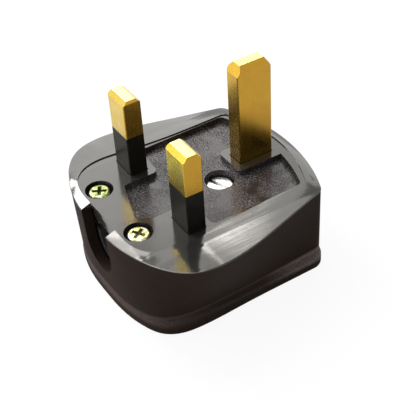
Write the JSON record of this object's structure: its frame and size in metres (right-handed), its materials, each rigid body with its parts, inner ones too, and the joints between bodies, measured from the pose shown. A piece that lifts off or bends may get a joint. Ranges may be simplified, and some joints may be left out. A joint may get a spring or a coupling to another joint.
{
  "type": "uk three pin plug",
  "caption": "Rewireable three pin mains plug with sleeved brass pins, glossy pin plate, matt cover, cable slot, cord grip and cartridge fuse.",
  "frame": {"origin": "under the middle of the body, on the cover's flat back", "axes": "+Z along the pins, away from the cover's back; +Y from the cable slot towards the earth pin; +X towards the neutral pin"},
  "size_m": [0.049, 0.0466, 0.043],
  "materials": {
    "base_gloss": "glossy moulded black",
    "cover_matt": "fine matt texture, black-brown",
    "pin_brass": "machined, lightly brushed",
    "sleeve": "satin black",
    "bright_screw": "nickel plated",
    "zinc_screw": "yellow zinc plated",
    "inner_nylon": "black moulded nylon",
    "insert_brass": "machined",
    "clip_brass": "rolled spring strip",
    "fuse_ceramic": "unglazed white ceramic",
    "fuse_cap": "nickel plated caps"
  },
  "bodies": {
    "root": {"base": "base_gloss", "cover": "cover_matt", "earth_pin": "pin_brass", "neutral_pin": "pin_brass", "line_pin": "pin_brass", "neutral_sleeve": "sleeve", "line_sleeve": "sleeve", "cover_screw": "bright_screw", "cord_grip_screw_line": "zinc_screw", "cord_grip_screw_neutral": "zinc_screw", "cord_grip_bar": "inner_nylon", "cover_insert": "insert_brass", "screw_retainer": "inner_nylon", "fuse_body": "fuse_ceramic", "fuse_cap_pin_end": "fuse_cap", "fuse_cap_terminal_end": "fuse_cap", "fuse_clip_pin_end": "clip_brass", "fuse_clip_terminal_end": "clip_brass", "line_terminal": "insert_brass", "line_terminal_screw": "bright_screw", "neutral_terminal_screw": "bright_screw", "earth_terminal_screw": "bright_screw"}
  },
  "joints": []
}
